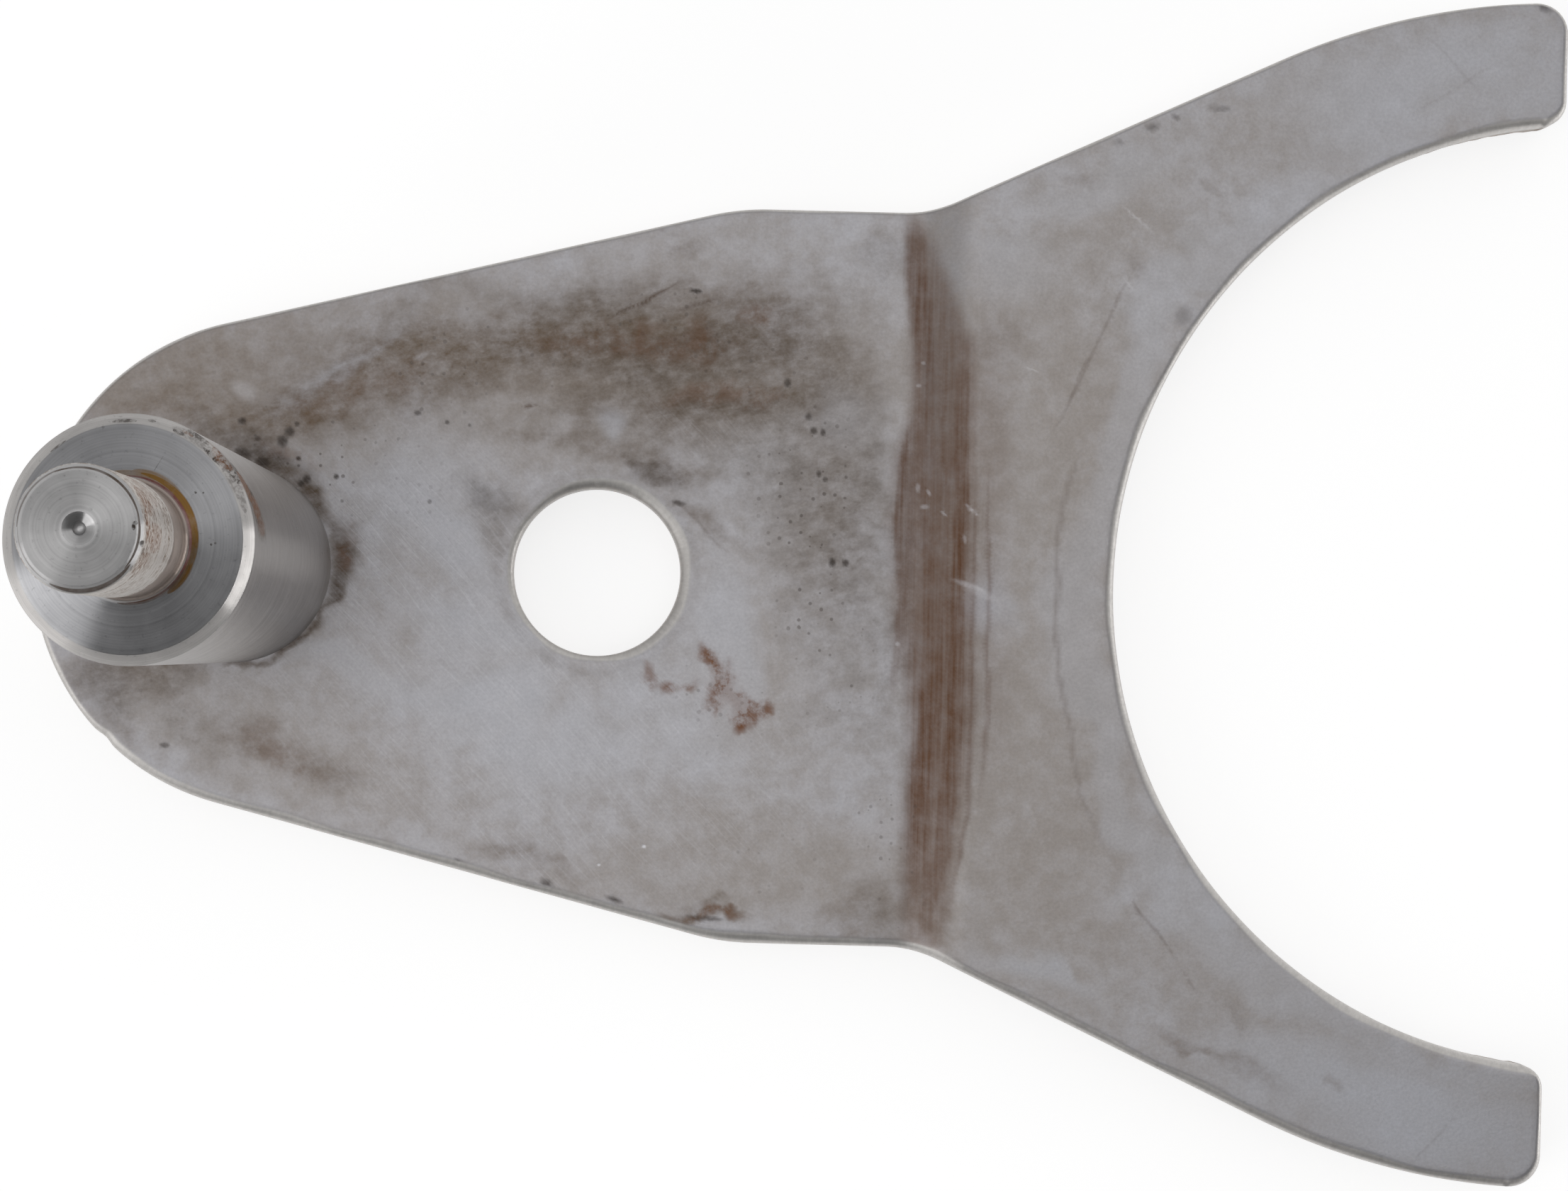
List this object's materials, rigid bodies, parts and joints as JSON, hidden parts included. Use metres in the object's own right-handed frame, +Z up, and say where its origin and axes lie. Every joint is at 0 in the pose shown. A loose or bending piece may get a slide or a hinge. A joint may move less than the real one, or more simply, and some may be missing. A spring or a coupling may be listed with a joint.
{
  "type": "differential shift fork",
  "caption": "Blanked steel shift fork with a round mouth, a low joggle, a plain hole and a stepped turned guide pin headed into its tail.",
  "frame": {"origin": "on the guide pin's axis, in the plane of the tail's back face", "axes": "+Z up the guide pin away from the plate, +X from the pin to the fork's mouth, +Y to the left prong"},
  "size_m": [0.1945, 0.151, 0.1599],
  "materials": {
    "plate_steel": "blanked and tumbled steel plate, satin, with brown oil varnish and light rust",
    "pin_steel": "turned and ground steel, fine rings on the end faces, dry brown stain at the neck"
  },
  "bodies": {
    "root": {"fork_plate": "plate_steel", "guide_pin": "pin_steel"}
  },
  "joints": []
}
